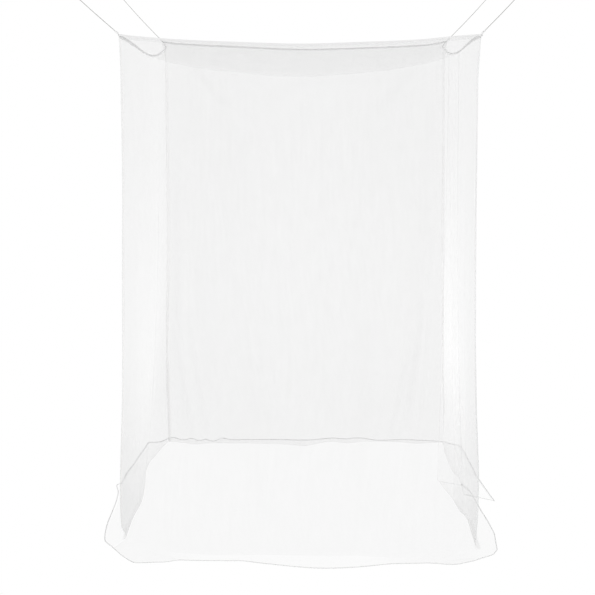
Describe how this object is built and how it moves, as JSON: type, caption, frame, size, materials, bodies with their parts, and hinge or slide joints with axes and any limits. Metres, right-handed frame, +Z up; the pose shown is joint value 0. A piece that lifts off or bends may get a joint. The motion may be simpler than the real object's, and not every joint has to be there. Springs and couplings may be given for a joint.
{
  "type": "mosquito net canopy",
  "caption": "Sheer box-shaped mosquito net with an overlapping side doorway and a hem that lies on the floor, hung by cords from its roof corners.",
  "frame": {"origin": "over the middle of the net, level with the four ceiling hooks that its cords loop over; the floor is 2.413 m below", "axes": "+X to the doorway side, +Y from the front wall to the back wall, +Z up"},
  "size_m": [2.0266, 2.6781, 2.4187],
  "materials": {
    "roof": "sheer white knitted netting",
    "front_wall": "sheer white knitted netting",
    "back_wall": "sheer white knitted netting",
    "left_wall": "sheer white knitted netting",
    "door_front": "sheer white knitted netting",
    "door_rear": "sheer white knitted netting",
    "binding_front": "woven white tape",
    "binding_back": "woven white tape",
    "binding_left": "woven white tape",
    "binding_right": "woven white tape",
    "tab_front_left": "woven white tape",
    "tab_front_right": "woven white tape",
    "tab_back_left": "woven white tape",
    "tab_back_right": "woven white tape",
    "hitch_front_left": "twisted white cord",
    "hitch_front_right": "twisted white cord",
    "hitch_back_left": "twisted white cord",
    "hitch_back_right": "twisted white cord",
    "cord_front_left": "twisted white cord",
    "cord_front_right": "twisted white cord",
    "cord_back_left": "twisted white cord",
    "cord_back_right": "twisted white cord",
    "eye_front_left": "twisted white cord",
    "eye_front_right": "twisted white cord",
    "eye_back_left": "twisted white cord",
    "eye_back_right": "twisted white cord"
  },
  "bodies": {
    "root": {"roof": "roof", "front_wall": "front_wall", "back_wall": "back_wall", "left_wall": "left_wall", "door_front": "door_front", "door_rear": "door_rear", "binding_front": "binding_front", "binding_back": "binding_back", "binding_left": "binding_left", "binding_right": "binding_right", "tab_front_left": "tab_front_left", "tab_front_right": "tab_front_right", "tab_back_left": "tab_back_left", "tab_back_right": "tab_back_right", "hitch_front_left": "hitch_front_left", "hitch_front_right": "hitch_front_right", "hitch_back_left": "hitch_back_left", "hitch_back_right": "hitch_back_right", "cord_front_left": "cord_front_left", "cord_front_right": "cord_front_right", "cord_back_left": "cord_back_left", "cord_back_right": "cord_back_right", "eye_front_left": "eye_front_left", "eye_front_right": "eye_front_right", "eye_back_left": "eye_back_left", "eye_back_right": "eye_back_right"}
  },
  "joints": []
}
